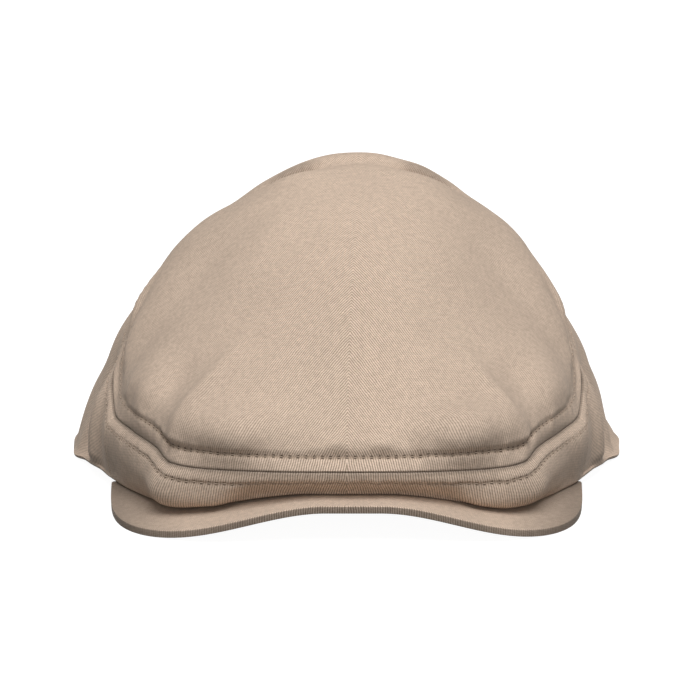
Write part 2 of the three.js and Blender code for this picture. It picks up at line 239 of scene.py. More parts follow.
def bill_top(x, y):
    """The height of the bill's top face."""
    reach = BILL_ARCH_TO + BILL_SPLAY * np.maximum(0, y - BILL_FRONT_Y)
    aside = np.abs(x - BILL_ARCH_MIDDLE * (1 - (x / BILL_MIDDLE_FADES) ** 2))
    return BILL_TOP - BILL_ARCH * smooth_step(BILL_ARCH_FROM, reach, aside)


def station_curves():
    """Each measure of the stations as a smooth curve over the distance along the rim."""
    names = list(STATIONS)
    rows = [dict(zip(STATION_COLUMNS, STATIONS[name])) for name in names]
    for row in rows:
        if row["rim_z"] is None:
            row["rim_z"] = float(bill_top(row["rim_x"], row["rim_y"])) + SEAM_GAP
    along = [0.0]
    for before, row in zip(rows, rows[1:]):
        along.append(along[-1] + math.hypot(row["rim_x"] - before["rim_x"], row["rim_y"] - before["rim_y"]))
    curves = {}
    for column in STATION_COLUMNS:
        values = [row[column] for row in rows]
        if column in ("rim_x", "seam_x"):
            mirrored = [-along[1], *along, 2 * along[-1] - along[-2]]
            curves[column] = smooth_table(mirrored, [-values[1], *values, -values[-2]])
        else:
            curves[column] = smooth_table(along, values)
    return curves, dict(zip(names, along))


CURVES, PLACES = station_curves()
CORNER_AT = PLACES["corner"]
TEMPLE_AT = PLACES["temple"]
BACK_AT = PLACES["back"]


def station(at):
    """The cap's measures at distances along the rim, on the +X side."""
    s = {column: curve(at) for column, curve in CURVES.items()}
    on_bill = bill_top(s["rim_x"], s["rim_y"]) + SEAM_GAP
    s["rim_z"] = np.where(at <= TEMPLE_AT, on_bill, s["rim_z"])
    s["corner"] = CORNER["pull"] * bell(at - CORNER_AT, CORNER["spread"])
    return s


def outwards(points, push):
    """Points pushed away from the cap's middle in plan."""
    away = points - np.array([0, TOP_Y, 0])
    away[..., 2] = 0
    return points + unit(away) * push[..., None]


def resampled(raw, wanted):
    """The points at the wanted lengths along each column's raw points, and the columns' whole lengths."""
    steps = np.linalg.norm(np.diff(raw, axis=1), axis=2)
    lengths = np.concatenate([np.zeros((len(raw), 1)), np.cumsum(steps, axis=1)], axis=1)
    distances = wanted(lengths[:, -1])
    points = np.empty(distances.shape + (3,))
    for i in range(len(raw)):
        for axis in range(3):
            points[i, :, axis] = np.interp(distances[i], lengths[i], raw[i, :, axis])
    return points, distances, lengths[:, -1]


def settled(points):
    """Dents, swells and the lean, which move the finished crown."""
    p = points.copy()
    on_top = smooth_step(HEM_HEIGHT, TOP_HEIGHT / 2, points[..., 2])
    for x, y, across, lengthwise, rise, mirrored in DENTS.values():
        for side in (-1, 1) if mirrored else (1,):
            bump = bell(p[..., 0] - side * x, across) * bell(p[..., 1] - y, lengthwise)
            p[..., 2] += on_top * rise * bump
    p[..., 0] += LEAN * (np.maximum(0, points[..., 2]) / TOP_HEIGHT) ** 3
    return p


def crown_relief(points):
    """The rise of the crown's forms that are seen from above."""
    total = np.zeros(points.shape[:-1])
    on_top = smooth_step(70, 92, points[..., 2])
    for form in CROWN_FORMS.values():
        for side in (-1, 1) if form["x"] else (1,):
            across = bell(points[..., 0] - side * form["x"] - LEAN, form["across"])
            total += on_top * form["rise"] * across * bell(points[..., 1] - form["y"], form["along"])
    return total


def top_skin(at, near_rows, rest):
    """The top panel's skin: columns at signed distances along the rim, rows from the seam to the top."""
    s = {key: value[:, None] for key, value in station(np.abs(at)).items()}
    half_length = (OVAL["back_y"] - OVAL["front_y"]) / 2
    middle_y = OVAL["front_y"] + half_length
    bearing = np.arctan2(s["seam_x"] / OVAL["half_width"], (middle_y - s["seam_y"]) / half_length)
    oval_x = OVAL["half_width"] * np.sin(bearing)
    oval_y = middle_y - half_length * np.cos(bearing)
    share = 1 - (np.arange(PROFILE_STEPS + 1)[None] / PROFILE_STEPS) ** PROFILE_CROWDING
    from_oval = smooth_step(OVAL["to"], OVAL["from"], share)
    raw = np.stack([
        lerp(oval_x, s["seam_x"], from_oval) * share,
        lerp(TOP_Y, lerp(oval_y, s["seam_y"], from_oval), share),
        s["seam_z"] + (TOP_HEIGHT - s["seam_z"]) * (1 - share * share) ** (1 / s["round"]),
    ], axis=-1)
    near = np.array(near_rows, float)
    dip = ROW_DIP["by"] * bell(np.abs(at) - ROW_DIP["at"], ROW_DIP["spread"])[:, None]

    def from_seam(totals):
        far = near[-1] + (totals[:, None] + dip - near[-1]) * np.arange(1, rest + 1)[None] / rest
        return np.concatenate([np.repeat(near[None], len(totals), 0), far], axis=1)

    def wanted(totals):
        d = from_seam(totals)
        return d - dip * smooth_step(0, ROW_DIP["fades_over"], d)

    points, _, totals = resampled(raw, wanted)
    d = from_seam(totals)
    totals = totals + dip[:, 0]
    grown = smooth_step(PUFF["grows_from"], PUFF["full_at"], d)
    faded = smooth_step(PUFF["fades_from"], PUFF["gone_at"], d)
    corner = s["corner"] * (1 - smooth_step(0, CORNER["fades_over"], d))
    pushed = outwards(points, s["puff"] * grown * (1 - faded) + corner)
    pushed[:, -1] = points[:, -1]
    pushed[..., 0] *= np.where(at < 0, -1, 1)[:, None]
    return settled(pushed), d, totals


def wall_skin(at, near_rows, rest, hem):
    """The skin below the seam: columns at signed distances along the rim, rows from the seam down."""
    s = {key: value[:, None] for key, value in station(np.abs(at)).items()}
    share = np.linspace(0, 1, PROFILE_STEPS + 1)[None]
    raw = np.stack([lerp(s["seam_" + axis], s["rim_" + axis], share) for axis in "xyz"], axis=-1)
    out = s["swell"] * 4 * share * (1 - share) * (SWELL_LEANS + 0.5 - share) + s["corner"]
    reach = np.abs(at)[:, None]
    for rim_at, seam_at, spread, depth in FOLDS.values():
        height = smooth_step(0, FOLD_GROWS, share) * (1 - FOLD_EASES * share ** 3)
        fold = depth * height * bell(reach - lerp(seam_at, rim_at, share), spread)
        out = out + np.where(reach > TEMPLE_AT, fold, 0)
    raw = outwards(raw, out)
    near = np.array(near_rows, float)

    def wanted(totals):
        last = totals[:, None] - hem
        far = near[-1] + (last - near[-1]) * np.arange(1, rest + 1)[None] / rest
        return np.concatenate([np.repeat(near[None], len(totals), 0), far], axis=1)

    points, e, totals = resampled(raw, wanted)
    points[..., 0] *= np.where(at < 0, -1, 1)[:, None]
    rim = raw[:, -1].copy()
    rim[:, 0] *= np.where(at < 0, -1, 1)
    return settled(points), e, totals, rim


def normals_of(points, closed):
    """Outward normals of a sheet whose columns run to +X at the front and whose rows run upwards."""
    if closed:
        round_step = np.roll(points, -1, 0) - np.roll(points, 1, 0)
    else:
        round_step = np.gradient(points, axis=0)
    return unit(np.cross(round_step, np.gradient(points, axis=1)))


def soft_noise(points, wavelength, seed):
    """A smooth random field over space, roughly from -1 to 1."""
    generator = np.random.default_rng(seed)
    total = np.zeros(points.shape[:-1])
    waves = 9
    for _ in range(waves):
        direction = unit(generator.normal(size=3))
        length = wavelength * generator.uniform(0.75, 1.5)
        total += np.sin(points @ direction * 2 * math.pi / length + generator.uniform(0, 2 * math.pi))
    return total / math.sqrt(waves / 2) * 0.6


def pucker(at, wavelength, seed):
    """A smooth random line over the distance along the rim, roughly from -1 to 1."""
    generator = np.random.default_rng(seed)
    total = np.zeros(at.shape)
    waves = 7
    for _ in range(waves):
        length = wavelength * generator.uniform(0.7, 1.7)
        total += np.sin(at * 2 * math.pi / length + generator.uniform(0, 2 * math.pi))
    return total / math.sqrt(waves / 2) * 0.6


def form_height(form, at, from_seam, side):
    """The height of one soft form at distances along the rim and from the seam."""
    reach = at * side - form["at"] - form.get("slant", 0) * (from_seam - form["off"])
    return form["rise"] * bell(reach, form["along"]) * bell(from_seam - form["off"], form["across"])


def soft_forms(forms, at, from_seam):
    """The soft forms of a table together. A form without a side is on both sides."""
    total = np.zeros(np.broadcast(at, from_seam).shape)
    for form in forms.values():
        for side in (form["side"],) if "side" in form else (-1, 1):
            total += form_height(form, at, from_seam, side)
    return total


def top_relief(at, d, points, row_at):
    """How far the top panel's cloth stands out of the smooth skin: strip, stitch row, puckers, puffs."""
    reach = np.abs(at)
    front = 1 - smooth_step(CORNER_AT + 5, TEMPLE_AT + 10, reach)
    sewn = 1 - smooth_step(TEMPLE_AT - 14, TEMPLE_AT + 14, reach)
    eases = 1 - smooth_step(12, 34, d)
    under_puff = bell(reach - UNDER_PUFF["at"], UNDER_PUFF["spread"])
    strip = (0.1 * sewn + 0.12 * front) * (1 - 0.85 * bell(reach - 42, 12))
    out = strip * np.clip(np.sin(math.pi * np.clip((d + 0.6) / (row_at + 0.6), 0, 1)), 0, 1) ** 0.8
    tilt = np.where(at > 0, TILT["left"], TILT["right"]) * bell(reach - TILT["at"], TILT["spread"])
    tilt = tilt + CHEEK_TILT["rise"] * bell(reach - CHEEK_TILT["at"], CHEEK_TILT["spread"])
    out = out + tilt * smooth_step(-1, row_at, d) * eases
    out = out - 0.12 * sewn * bell(d - row_at, 0.7)
    drawn_in = BEHIND_TEMPLE["fall"] * bell(reach - BEHIND_TEMPLE["at"], BEHIND_TEMPLE["spread"])
    out = out - drawn_in * smooth_step(0.5, 4, d) * (1 - smooth_step(8, 14, d))
    out = out + (0.35 * sewn + 0.6 * front) * smooth_step(row_at + 0.3, row_at + 2.6, d) * eases
    above_row = np.maximum(0, d - row_at)
    rising = 1 - np.exp(-above_row / UNDER_PUFF["full_over"])
    out = out + UNDER_PUFF["rise"] * under_puff * rising * eases
    out = out + 0.42 * pucker(at, 7.5, 11) * bell(d - row_at, 3.4) * (0.1 + 0.5 * sewn + 0.4 * front)
    out = out + 0.3 * pucker(at, 15, 12) * bell(d - row_at - 4, 7)
    out = out + soft_forms(TOP_FORMS, at, d) * smooth_step(row_at, row_at + 1.8, d)
    out = out + 0.45 * soft_noise(points, 55, 21) * smooth_step(8, 26, d)
    out = out + 0.14 * soft_noise(points, 17, 22) * smooth_step(6, 16, d)
    return out


def wall_relief(at, e, points, row_at, total):
    """How far the cloth below the seam stands out of the smooth skin."""
    reach = np.abs(at)
    behind = smooth_step(TEMPLE_AT, TEMPLE_AT + 25, reach)
    beside = smooth_step(22, 46, reach)
    peak = 2.4 + 2.0 * beside
    cheek = smooth_step(CORNER_AT, TEMPLE_AT - 10, reach)
    bulge = smooth_step(-0.8, peak, e) * (1 - smooth_step(peak + 0.4, np.maximum(11.5, total), e))
    out = (2.1 + 0.3 * beside - 0.8 * cheek - 1.5 * behind) * bulge
    flare = FLARE["by"] * smooth_step(FLARE["from"], FLARE["full_at"], reach)
    flare = flare * (1 - FLARE["eases_by"] * smooth_step(FLARE["eases_from"], FLARE["eases_to"], reach))
    flare = flare * (1 - smooth_step(CORNER_AT, TEMPLE_AT, reach))
    out = out + flare * smooth_step(3, 12.5, e) * (1 - 0.5 * smooth_step(-5, 0, e - total))
    out = out - (0.45 - 0.3 * cheek) * bell(e - row_at, 0.7)
    out = out + 0.26 * pucker(at, 7, 31) * bell(e - row_at, 3)
    out = out + 0.3 * pucker(at, 19, 32) * smooth_step(2, 7, e)
    low = smooth_step(0, 6, total - e)
    out = out + soft_forms(WALL_FORMS, at, e) * low
    out = out + behind * low * (0.6 * soft_noise(points, 48, 41) + 0.15 * soft_noise(points, 15, 42))
    return out


def seam_frame(at):
    """Points on the seam with the directions both panels share there: outwards, and up into the top."""
    above = top_skin(at, (0, 0.5, 1), 1)[0][:, :3]
    below = wall_skin(at, (0, 0.5, 1), 1, 0)[0][:, :3]
    run = unit(np.gradient(above[:, 0], axis=0))
    outward = unit(normals_of(above, False)[:, 0] - normals_of(below, False)[:, 0])
    outward = unit(outward - run * np.sum(outward * run, axis=1, keepdims=True))
    return above[:, 0], outward, unit(np.cross(outward, run))


FRAME_AT = np.linspace(-BACK_AT, BACK_AT, ROW_SAMPLES)
SEAM_FRAME = seam_frame(FRAME_AT)


def at_seam(at):
    """The seam's frame at distances along the rim."""
    return [np.stack([np.interp(at, FRAME_AT, field[:, axis]) for axis in range(3)], axis=-1)
            for field in SEAM_FRAME]


def pressed_to_seam(border, seam, into, distance):
    """The border's points moved along the panel to their distance from the seam."""
    apart = np.sum((border - seam) * into, axis=1)
    return border + into * (distance - apart)[:, None]


def rolled(border, tangent, normal, radius, sweep, lip):
    """Rows that carry a sheet's border round a roll inwards and on for the lip's rows.

    tangent points into the sheet and normal outwards. The first row is nearest to the border.
    """
    turns = np.linspace(0, sweep, ROLL_STEPS * max(1, round(sweep / (math.pi / 2))) + 1)[1:]
    rows = [border - tangent * radius * math.sin(t) - normal * radius * (1 - math.cos(t)) for t in turns]
    onward = -tangent * math.cos(sweep) - normal * math.sin(sweep)
    rows += [rows[-1] + onward * step for step in lip]
    lengths = [radius * t for t in turns] + [radius * sweep + step for step in lip]
    return rows, lengths


def with_rows(points, before, after):
    """A grid of points with more rows before its first and after its last one."""
    parts = [np.stack(before, axis=1)] if before else []
    parts.append(points)
    if after:
        parts.append(np.stack(after, axis=1))
    return np.concatenate(parts, axis=1)


def places(start, end, count, roll=0):
    """Even places along the rim, drawn in from upright seams by their roll."""
    return np.linspace(start + roll, end - roll, count + 1)


def row_length_table(row_points_of):
    """The distance along a stitched row as a function of the distance along the rim, and its whole."""
    row = row_points_of(FRAME_AT)
    steps = np.linalg.norm(np.diff(row, axis=0), axis=1)
    lengths = np.concatenate([[0], np.cumsum(steps)])
    lengths -= np.interp(0, FRAME_AT, lengths)
    return (lambda at: np.interp(at, FRAME_AT, lengths)), lengths[-1] - lengths[0]


def seam_turn(cloth):
    """The radius of a turned edge and the steps of the lip that follows it."""
    radius = cloth.seam_roll / MM
    return radius, np.array([0.35, 0.7, 1]) * (cloth.seam_allowance / MM - radius)


def deselected():
    """Leaves edit mode and selects nothing."""
    if bpy.context.object is not None and bpy.context.object.mode != "OBJECT":
        bpy.ops.object.mode_set(mode="OBJECT")
    bpy.ops.object.select_all(action="DESELECT")


def cloth_sheet(name, points, maps):
    """A grid primitive laid on a grid of points in millimetres.

    maps gives for each UV map a list of (first face row, grid of coordinates in metres).
    """
    deselected()
    columns, rows = points.shape[0] - 1, points.shape[1] - 1
    bpy.ops.mesh.primitive_grid_add(x_subdivisions=columns, y_subdivisions=rows, size=1)
    sheet = bpy.context.object
    sheet.name = name
    sheet.data.name = name
    mesh = sheet.data
    spots = np.empty(len(mesh.vertices) * 3)
    mesh.vertices.foreach_get("co", spots)
    spots = spots.reshape(-1, 3)
    i = np.rint((spots[:, 0] + 0.5) * columns).astype(int)
    j = np.rint((spots[:, 1] + 0.5) * rows).astype(int)
    mesh.vertices.foreach_set("co", (points[i, j] * MM).ravel())
    corners = np.empty(len(mesh.loops), int)
    mesh.loops.foreach_get("vertex_index", corners)
    face_row = np.repeat(j[corners].reshape(-1, 4).min(axis=1), 4)
    mesh.uv_layers[0].name = list(maps)[0]
    for layer_name, grids in maps.items():
        layer = mesh.uv_layers.get(layer_name) or mesh.uv_layers.new(name=layer_name)
        coordinates = np.zeros((len(corners), 2))
        for first_row, grid in grids:
            mine = face_row >= first_row
            coordinates[mine] = grid[i[corners], j[corners]][mine]
        layer.data.foreach_set("uv", coordinates.ravel())
    mesh.update()
    return sheet


def merged(piece, distance):
    """Joins the piece's vertices that lie in one place."""
    bpy.ops.object.mode_set(mode="EDIT")
    bpy.ops.mesh.select_all(action="SELECT")
    bpy.ops.mesh.remove_doubles(threshold=distance)
    bpy.ops.object.mode_set(mode="OBJECT")


def thickened(sheet, thickness):
    """Gives a sheet its wall inwards and shades it."""
    wall = sheet.modifiers.new("cloth", "SOLIDIFY")
    wall.thickness = thickness
    wall.offset = -1
    wall.use_rim = True
    bpy.ops.object.modifier_apply(modifier=wall.name)
    bpy.ops.object.shade_smooth_by_angle(angle=SMOOTH_BELOW)


def stood_on_floor(piece):
    """Lifts onto the floor what the wall's thickness pushed below it at the rim's corners."""
    spots = np.empty(len(piece.data.vertices) * 3)
    piece.data.vertices.foreach_get("co", spots)
    spots[2::3] = np.maximum(0, spots[2::3])
    piece.data.vertices.foreach_set("co", spots)
    piece.data.update()


def finished(piece, slot, material, *nodes):
    """Gives a piece its cloth and its place on the frame, and hides the nodes that it replaces. The slot is
    not used.
    """
    piece.data.materials.clear()
    piece.data.materials.append(material)
    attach(piece, "root")
    if nodes:
        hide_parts(*nodes)


class Nodes:
    """Short calls that add shader nodes to a tree and join them."""

    def __init__(self, tree):
        self.tree = tree

    def add(self, kind, **settings):
        node = self.tree.nodes.new(kind)
        for key, value in settings.items():
            setattr(node, key, value)
        return node

    def join(self, source, target):
        self.tree.links.new(source, target)

    def math(self, operation, *values):
        node = self.add("ShaderNodeMath", operation=operation)
        for socket, value in zip(node.inputs, values):
            if isinstance(value, (int, float)):
                socket.default_value = value
            else:
                self.join(value, socket)
        return node.outputs[0]

    def plus(self, a, b):
        return self.math("ADD", a, b)

    def minus(self, a, b):
        return self.math("SUBTRACT", a, b)

    def times(self, a, b):
        return self.math("MULTIPLY", a, b)

    def over(self, a, b):
        return self.math("DIVIDE", a, b)

    def squared(self, a, b):
        """The sum of two squares."""
        return self.plus(self.math("POWER", a, 2), self.math("POWER", b, 2))

    def parts(self, vector):
        """A vector's three numbers."""
        node = self.add("ShaderNodeSeparateXYZ")
        self.join(vector, node.inputs[0])
        return node.outputs

    def uv_map(self, name):
        return self.parts(self.add("ShaderNodeUVMap", uv_map=name).outputs[0])

    def ridges(self, count):
        """A wave from 0 to 1 for each whole number of the count."""
        return self.range(self.math("SINE", self.times(count, 2 * math.pi)), -1, 1, 0, 1)

    def shaded(self, colour, tone):
        """The colour made darker or lighter by a tone."""
        return self.mix("MULTIPLY", 1.0, colour, self.grey(tone))

    def roughened(self, surface, height, strength, depth):
        """Gives the surface a fine relief."""
        bump = self.add("ShaderNodeBump")
        bump.inputs["Strength"].default_value = strength
        bump.inputs["Distance"].default_value = depth
        self.join(height, bump.inputs["Height"])
        self.join(bump.outputs[0], surface.inputs["Normal"])

    def noise(self, coordinates, scale, detail=2.0, roughness=0.5):
        node = self.add("ShaderNodeTexNoise")
        node.inputs["Scale"].default_value = scale
        node.inputs["Detail"].default_value = detail
        node.inputs["Roughness"].default_value = roughness
        self.join(coordinates, node.inputs["Vector"])
        return node.outputs["Fac"]

    def range(self, value, low, high, to_low, to_high, kind="LINEAR"):
        node = self.add("ShaderNodeMapRange", interpolation_type=kind)
        sockets = ("From Min", "From Max", "To Min", "To Max")
        for socket, number in zip(sockets, (low, high, to_low, to_high)):
            node.inputs[socket].default_value = number
        self.join(value, node.inputs["Value"])
        return node.outputs["Result"]

    def grey(self, value):
        node = self.add("ShaderNodeCombineColor")
        for socket in node.inputs[:3]:
            self.join(value, socket)
        return node.outputs[0]

    def mix(self, kind, factor, a, b):
        node = self.add("ShaderNodeMix", data_type="RGBA", blend_type=kind)
        for socket, value in ((node.inputs[0], factor), (node.inputs[6], a), (node.inputs[7], b)):
            if isinstance(value, (int, float)):
                socket.default_value = value
            elif isinstance(value, tuple):
                socket.default_value = (*value, 1)
            else:
                self.join(value, socket)
        return node.outputs[2]


def new_material(name):
    """A bare material with its nodes and its surface."""
    material = bpy.data.materials.new(name)
    material.use_nodes = True
    material.node_tree.nodes.clear()
    n = Nodes(material.node_tree)
    surface = n.add("ShaderNodeBsdfPrincipled")
    n.join(surface.outputs[0], n.add("ShaderNodeOutputMaterial").inputs["Surface"])
    return material, n, surface


def twill_material(name, cloth, rows_at, relief=1.0, tips=0.0, painted_crease_shade=0.0, edge=0.0, side_fade_and_shade=0.0):
    """Twill that follows the piece's "cloth" map, with the stitch holes of its "seam" map.

    rows_at gives each stitched row's place and strength, and relief how much the wales show.
    worn says how much less they show towards the sides, and darkens the sides a little with
    painted shade. Painted shade darkens the cloth by tips towards the bill's tips, by creased in
    the creases behind the brow and by edge round the bill's edge.
    """
    material, n, surface = new_material(name)
    place = n.add("ShaderNodeTexCoord").outputs["Object"]
    across, lengthwise, _ = n.uv_map("cloth")

    # Wales: ridges across the cloth that waver a little, each made of slanting yarn floats.
    waver = n.range(n.noise(place, 260, 2), 0, 1, -0.45, 0.45)
    wale_count = n.plus(n.over(across, cloth.wale_spacing), waver)
    crest = n.math("POWER", n.ridges(wale_count), 0.7)
    yarn = n.ridges(n.plus(n.over(lengthwise, cloth.yarn_spacing), n.times(wale_count, 0.37)))
    fibre = n.noise(place, 2600, 3, 0.6)
    slub = n.noise(place, 620, 3, 0.55)

    # Colour: shaded valleys, heathered yarns, and slow changes over the cloth.
    x, y, z = n.parts(place)
    aside = n.math("ABSOLUTE", x)
    shows = n.range(aside, 0.012, 0.075, relief, relief * (1 - side_fade_and_shade))
    shows = n.times(shows, n.range(z, 0.08, 0.1, 1, 0.6))
    valley = 0.54
    weave = n.times(n.minus(n.times(crest, 0.9), valley), shows)
    weave = n.plus(n.plus(weave, valley), n.times(yarn, 0.1))
    colour = n.mix("MIX", weave, tuple(cloth.valley_colour), tuple(cloth.crest_colour))
    for heather, low, high in ((slub, 0.88, 1.1), (fibre, 0.92, 1.06), (n.noise(place, 34, 3), 0.965, 1.03)):
        colour = n.shaded(colour, n.range(heather, 0.3, 0.7, low, high))

    # Painted shade: the cloth is a little darker towards the sides.
    if side_fade_and_shade:
        colour = n.shaded(colour, n.range(aside, 0.02, 0.045, 1, 1 - 0.1 * side_fade_and_shade))
    # Painted shade: the bill darkens towards its tips.
    if tips:
        colour = n.shaded(colour, n.range(aside, *PAINTED_TIP_SHADE, 1, 1 - tips))
    # Painted shade in the creases behind the brow.
    if painted_crease_shade:
        from_middle = n.math("ABSOLUTE", n.minus(x, LEAN * MM))
        sideways = n.over(n.minus(from_middle, PAINTED_CREASE_SHADE["x"] * MM), PAINTED_CREASE_SHADE["across"] * MM)
        lengthwise_off = n.over(n.minus(y, PAINTED_CREASE_SHADE["y"] * MM), PAINTED_CREASE_SHADE["along"] * MM)
        apart = n.squared(sideways, n.math("ABSOLUTE", lengthwise_off))
        colour = n.shaded(colour, n.range(apart, 0.1, 1.2, 1 - painted_crease_shade, 1, "SMOOTHSTEP"))
    # Painted shade round the bill's edge, fading towards the sides.
    if edge:
        shade = n.range(n.uv_map("seam")[1], 0.0001, 0.0007, 0, edge)
        shade = n.times(shade, n.range(aside, *PAINTED_EDGE_SHADE, 1, 0.2))
        colour = n.shaded(colour, n.minus(1, shade))

    # Stitch holes: small pits along the stitched rows, darkened with painted shade, with a band of painted
    # shade along each row.
    height = n.plus(n.plus(n.times(weave, 0.8), n.times(fibre, 0.35)), n.times(slub, 0.3))
    if rows_at:
        stitches, from_seam, _ = n.uv_map("seam")
        turns = n.math("ABSOLUTE", stitches)
        for row_at, strength in rows_at:
            along = n.over(n.math("PINGPONG", stitches, 0.5), 0.23)
            off_row = n.math("ABSOLUTE", n.over(n.minus(from_seam, row_at), cloth.hole_size))
            pulled = n.range(turns, 29, 36, strength, 0.25 * strength)
            pit = n.times(pulled, n.range(n.squared(along, off_row), 0.2, 1.3, 1, 0, "SMOOTHSTEP"))
            # Painted shade along the row, in the valleys' colour.
            pull = n.times(pulled, n.range(off_row, 0.2, 1.7, 0.6, 0, "SMOOTHSTEP"))
            colour = n.mix("MIX", pull, colour, tuple(cloth.valley_colour))
            colour = n.mix("MIX", n.times(pit, 0.95), colour, tuple(cloth.hole_shade_colour))
            height = n.minus(height, n.times(pit, 2.4))
        # The turned edge at the seam gets painted shade: least in the middle of the front, widest over the
        # cheeks.
        cheek = n.times(n.range(turns, 21, 27, 0, 1), n.range(turns, 35, 39, 1, 0))
        width = n.plus(n.times(cheek, 1.5 if painted_crease_shade else 0.2), 1)
        turned_in = n.range(n.over(from_seam, width), -0.0006, 0.0012, 0, 1)
        deep = n.range(turns, 3, 14, 0.42, 0.2)
        colour = n.shaded(colour, n.plus(deep, n.times(n.minus(1, deep), turned_in)))
    n.join(colour, surface.inputs["Base Color"])
    surface.inputs["Roughness"].default_value = 0.92
    surface.inputs["Specular IOR Level"].default_value = 0.2
    surface.inputs["Sheen Weight"].default_value = 0.12
    surface.inputs["Sheen Roughness"].default_value = 0.45
    surface.inputs["Sheen Tint"].default_value = (0.95, 0.86, 0.76, 1)
    n.roughened(surface, height, 0.55, 0.00022)
    return material


def thread_material(name, cloth):
    """Twisted sewing thread."""
    material, n, surface = new_material(name)
    strand = n.noise(n.add("ShaderNodeTexCoord").outputs["Object"], 3000, 2)
    colour = n.mix("MULTIPLY", 1.0, tuple(cloth.thread_colour), n.grey(n.range(strand, 0.3, 0.7, 0.8, 1.12)))
    n.join(colour, surface.inputs["Base Color"])
    surface.inputs["Roughness"].default_value = 0.7
    surface.inputs["Specular IOR Level"].default_value = 0.3
    n.roughened(surface, strand, 0.4, 0.0001)
    return material


def twill_map(sideways, upwards, slope):
    """UV coordinates across and along the wales, in metres, mirrored at the middle of the cap."""
    across = np.abs(sideways) * math.sin(slope) + upwards * math.cos(slope)
    lengthwise = upwards * math.sin(slope) - np.abs(sideways) * math.cos(slope)
    return np.stack([across, lengthwise], axis=-1) * MM


def colour_property(name, description, default):
    """A colour that the user may change."""
    return bpy.props.FloatVectorProperty(
        name=name, description=description, default=default, size=3, min=0, max=1, subtype="COLOR")


def length_property(name, description, default):
    """A length in metres that the user may change."""
    return bpy.props.FloatProperty(
        name=name, description=description, default=default, min=0, precision=5, unit="LENGTH")


class CapCloth(bpy.types.PropertyGroup):
    """The cap's cloth and its stitching."""
    crest_colour: colour_property("Crest", "Colour of the twill's ridges", (0.78, 0.62, 0.5))
    valley_colour: colour_property("Valley", "Colour between the twill's ridges", (0.255, 0.19, 0.138))
    # Painted shade inside the stitch holes.
    hole_shade_colour: colour_property("Hole", "Colour inside a stitch hole", (0.07, 0.045, 0.03))
    thread_colour: colour_property("Thread", "Colour of the sewing thread", (0.45, 0.35, 0.27))
    wale_spacing: length_property("Wale spacing", "Distance from ridge to ridge", 0.00088)
    yarn_spacing: length_property("Yarn spacing", "Distance from float to float on a ridge", 0.0011)
    wale_slope: bpy.props.FloatProperty(
        name="Wale slope", description="Slope of the ridges on the crown",
        default=math.radians(52), subtype="ANGLE")
    strip_slope: bpy.props.FloatProperty(
        name="Strip slope", description="Slope of the ridges on the strip and the band",
        default=math.radians(80), subtype="ANGLE")
    thickness: length_property("Thickness", "Thickness of one layer of cloth", 0.001)
    seam_roll: length_property("Seam roll", "Radius of the cloth where it turns into a seam", 0.0008)
    seam_allowance: length_property("Seam allowance", "Width turned in at a seam", 0.0025)
    hem_roll: length_property("Hem roll", "Radius of the turned rim", 0.0013)
    hem_width: length_property("Hem width", "Width turned up inside the rim", 0.009)
    upper_row: length_property("Upper row", "Distance of the crown's stitches above the seam", 0.0062)
    lower_row: length_property("Lower row", "Distance of the band's stitches below the seam", 0.0045)
    stitch_pitch: length_property("Stitch pitch", "Distance from stitch to stitch", 0.003)
    stitch_length: length_property("Stitch length", "Length of the thread that shows", 0.0018)
    thread_width: length_property("Thread width", "Thickness of the thread", 0.00045)
    hole_size: length_property("Hole size", "How far a stitch hole reaches to each side of its row", 0.00075)


class CapStage(bpy.types.PropertyGroup):
    """The floor, the lights and the camera."""
    floor_colour: colour_property("Floor", "Colour of the floor", (0.24, 0.24, 0.24))
    floor_glow: bpy.props.FloatProperty(
        name="Floor glow", description="Light that shines through the floor", default=0.95, min=0)
    floor_size: length_property("Floor size", "Width of the floor", 8.0)
    camera_elevation: bpy.props.FloatProperty(
        name="Elevation", description="Height angle of the camera",
        default=math.radians(14), subtype="ANGLE")
    camera_distance: length_property("Distance", "Distance of the camera", 4.0)
    camera_lens: bpy.props.FloatProperty(
        name="Lens", description="Focal length on a 36 mm sensor", default=548.6, subtype="DISTANCE_CAMERA")
    key_strength: bpy.props.FloatProperty(
        name="Key light", description="Strength of the large light above", default=2.6, min=0)
    key_elevation: bpy.props.FloatProperty(
        name="Key elevation", description="Height angle of the large light above",
        default=math.radians(67), subtype="ANGLE")
    key_azimuth: bpy.props.FloatProperty(
        name="Key azimuth", description="How far the large light stands to the right",
        default=math.radians(13), subtype="ANGLE")
    fill_power: bpy.props.FloatProperty(
        name="Fill light", description="Power of the light in front", default=14, unit="POWER")
    ambient: bpy.props.FloatProperty(
        name="Ambient", description="Strength of the light from all round", default=0.32, min=0)


CAMERA_TARGET = Vector((0.00124, 0.02357, 0.03939))
# How far the turned edges of two panels press into each other at the seam.
LIP_OVERLAP = 0.05
# Rows near the seam, as distances from it, before the even rows begin. The strip ends at one of them.
STRIP_ENDS_AT = 6.2
TOP_NEAR_ROWS = (0.8, 1.1, 1.5, 2.1, 2.8, 3.5, 4.2, 4.8, 5.3, 5.7, 6.0, 6.2, 6.4, 6.7, 7.1, 7.6,
                 8.2, 9, 10, 11.2, 12.6, 14.2, 16, 18, 20.3, 22.8, 25.5)
WALL_NEAR_ROWS = (0.8, 1.1, 1.5, 2.1, 2.8, 3.4, 3.9, 4.2, 4.5, 4.8, 5.2, 5.7, 6.4, 7.2)


def top_columns():
    """Signed distances along the rim of the top panel's columns, from the middle of the back round."""
    half = np.concatenate([
        places(0, CORNER_AT, CORNER_COLUMNS)[:-1],
        places(CORNER_AT, TEMPLE_AT, CHEEK_COLUMNS)[:-1],
        places(TEMPLE_AT, BACK_AT, SIDE_COLUMNS),
    ])
    return np.concatenate([-half[:0:-1], half[:-1]])


